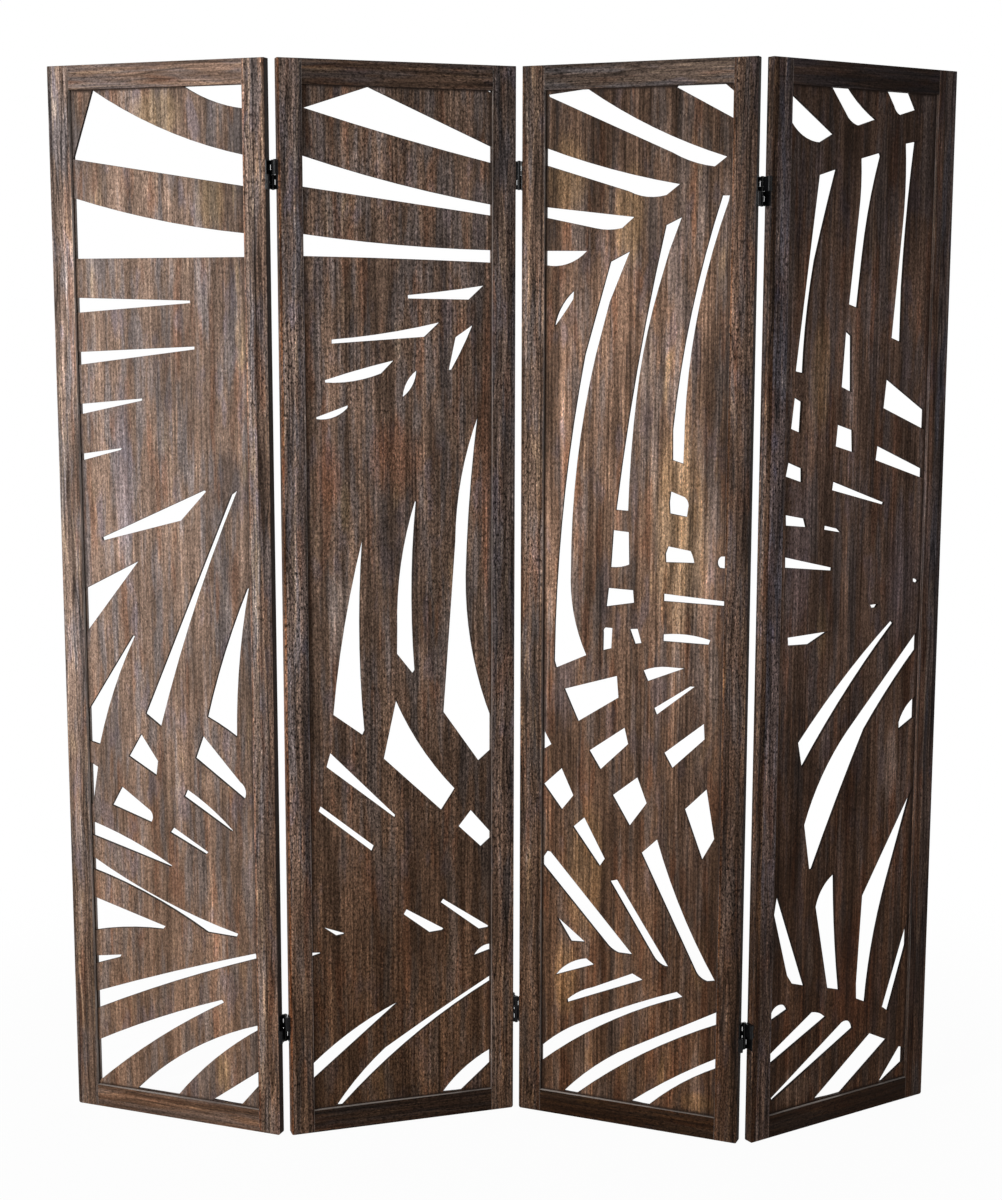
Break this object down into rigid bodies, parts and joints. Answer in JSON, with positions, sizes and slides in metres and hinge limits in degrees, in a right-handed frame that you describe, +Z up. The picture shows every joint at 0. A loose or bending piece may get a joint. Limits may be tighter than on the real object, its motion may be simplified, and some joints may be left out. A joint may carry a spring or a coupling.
{
  "type": "folding room divider",
  "caption": "Folding wooden room divider of tall hinged panels, each a thin board pierced with long palm leaf cut-outs in a plain frame, standing in a zigzag.",
  "frame": {"origin": "on the floor, at the middle of the space that the standing screen takes up", "axes": "+Z up along the panels' height, +X along the screen from the first panel to the last as seen from the front, +Y from the front to the back"},
  "size_m": [1.5142, 0.239, 1.8],
  "materials": {
    "frame_wood": "torched and brushed, matt",
    "board_wood": "torched and brushed, matt",
    "dowel_wood": "plain",
    "hinge_metal": "gloss black",
    "pin_metal": "gloss black",
    "screw_metal": "black"
  },
  "bodies": {
    "panel_1": {"panel_1_left_stile": "frame_wood", "panel_1_right_stile": "frame_wood", "panel_1_top_rail": "frame_wood", "panel_1_bottom_rail": "frame_wood", "panel_1_pierced_board": "board_wood", "panel_1_corner_dowels": "dowel_wood", "panel_1_hinge_screws": "screw_metal", "joint_12_upper_leaf_left": "hinge_metal", "joint_12_upper_link_lower": "hinge_metal", "joint_12_lower_leaf_left": "hinge_metal", "joint_12_lower_link_lower": "hinge_metal", "joint_12_pins_left": "pin_metal"},
    "panel_2": {"panel_2_left_stile": "frame_wood", "panel_2_right_stile": "frame_wood", "panel_2_top_rail": "frame_wood", "panel_2_bottom_rail": "frame_wood", "panel_2_pierced_board": "board_wood", "panel_2_corner_dowels": "dowel_wood", "panel_2_hinge_screws": "screw_metal", "joint_12_upper_leaf_right": "hinge_metal", "joint_12_upper_link_upper": "hinge_metal", "joint_12_lower_leaf_right": "hinge_metal", "joint_12_lower_link_upper": "hinge_metal", "joint_12_pins_right": "pin_metal", "joint_23_upper_leaf_left": "hinge_metal", "joint_23_upper_link_upper": "hinge_metal", "joint_23_lower_leaf_left": "hinge_metal", "joint_23_lower_link_upper": "hinge_metal", "joint_23_pins_left": "pin_metal"},
    "panel_3": {"panel_3_left_stile": "frame_wood", "panel_3_right_stile": "frame_wood", "panel_3_top_rail": "frame_wood", "panel_3_bottom_rail": "frame_wood", "panel_3_pierced_board": "board_wood", "panel_3_corner_dowels": "dowel_wood", "panel_3_hinge_screws": "screw_metal", "joint_23_upper_leaf_right": "hinge_metal", "joint_23_upper_link_lower": "hinge_metal", "joint_23_lower_leaf_right": "hinge_metal", "joint_23_lower_link_lower": "hinge_metal", "joint_23_pins_right": "pin_metal", "joint_34_upper_leaf_left": "hinge_metal", "joint_34_upper_link_lower": "hinge_metal", "joint_34_lower_leaf_left": "hinge_metal", "joint_34_lower_link_lower": "hinge_metal", "joint_34_pins_left": "pin_metal"},
    "panel_4": {"panel_4_left_stile": "frame_wood", "panel_4_right_stile": "frame_wood", "panel_4_top_rail": "frame_wood", "panel_4_bottom_rail": "frame_wood", "panel_4_pierced_board": "board_wood", "panel_4_corner_dowels": "dowel_wood", "panel_4_hinge_screws": "screw_metal", "joint_34_upper_leaf_right": "hinge_metal", "joint_34_upper_link_upper": "hinge_metal", "joint_34_lower_leaf_right": "hinge_metal", "joint_34_lower_link_upper": "hinge_metal", "joint_34_pins_right": "pin_metal"}
  },
  "joints": [
    {"name": "joint_12", "type": "hinge", "parent": "panel_2", "child": "panel_1", "pos_m": [-0.37218, -0.06931, 0], "axis": [0, 0, -1], "range_deg": [-38.5, 141.5]},
    {"name": "joint_23", "type": "hinge", "parent": "panel_2", "child": "panel_3", "pos_m": [0.02319, 0.04065, 0], "axis": [0, 0, -1], "range_deg": [-40.5, 138.5]},
    {"name": "joint_34", "type": "hinge", "parent": "panel_3", "child": "panel_4", "pos_m": [0.40872, -0.09999, 0], "axis": [0, 0, 1], "range_deg": [-55.5, 124.5]}
  ]
}
